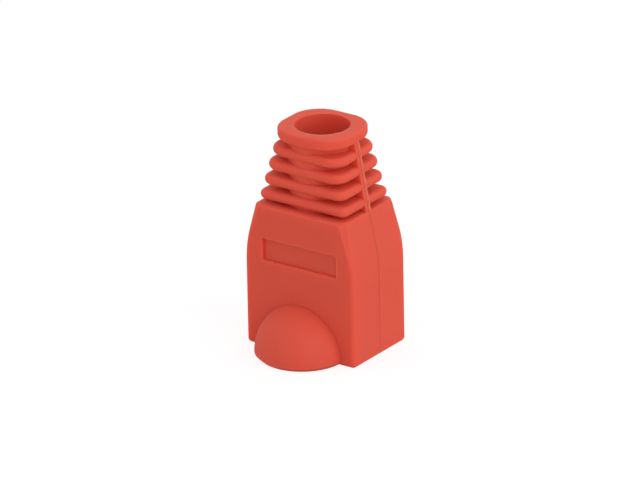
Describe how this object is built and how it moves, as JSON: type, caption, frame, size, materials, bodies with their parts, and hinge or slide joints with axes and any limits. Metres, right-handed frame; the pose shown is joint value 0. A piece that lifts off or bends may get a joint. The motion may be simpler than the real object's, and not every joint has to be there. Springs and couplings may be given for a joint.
{
  "type": "rj45 strain relief boot",
  "caption": "One-piece soft moulded boot for a modular plug, with a latch dome on the front, a ringed flexible neck and a cable bore.",
  "frame": {"origin": "middle of the plug mouth, on the plane of its rim", "axes": "+Z runs along the cable, from the mouth to the collar; X is the boot's width; the latch dome and the label recess face -Y"},
  "size_m": [0.0144, 0.0147, 0.0256],
  "materials": {
    "boot_pvc": "satin"
  },
  "bodies": {
    "root": {"boot": "boot_pvc"}
  },
  "joints": []
}
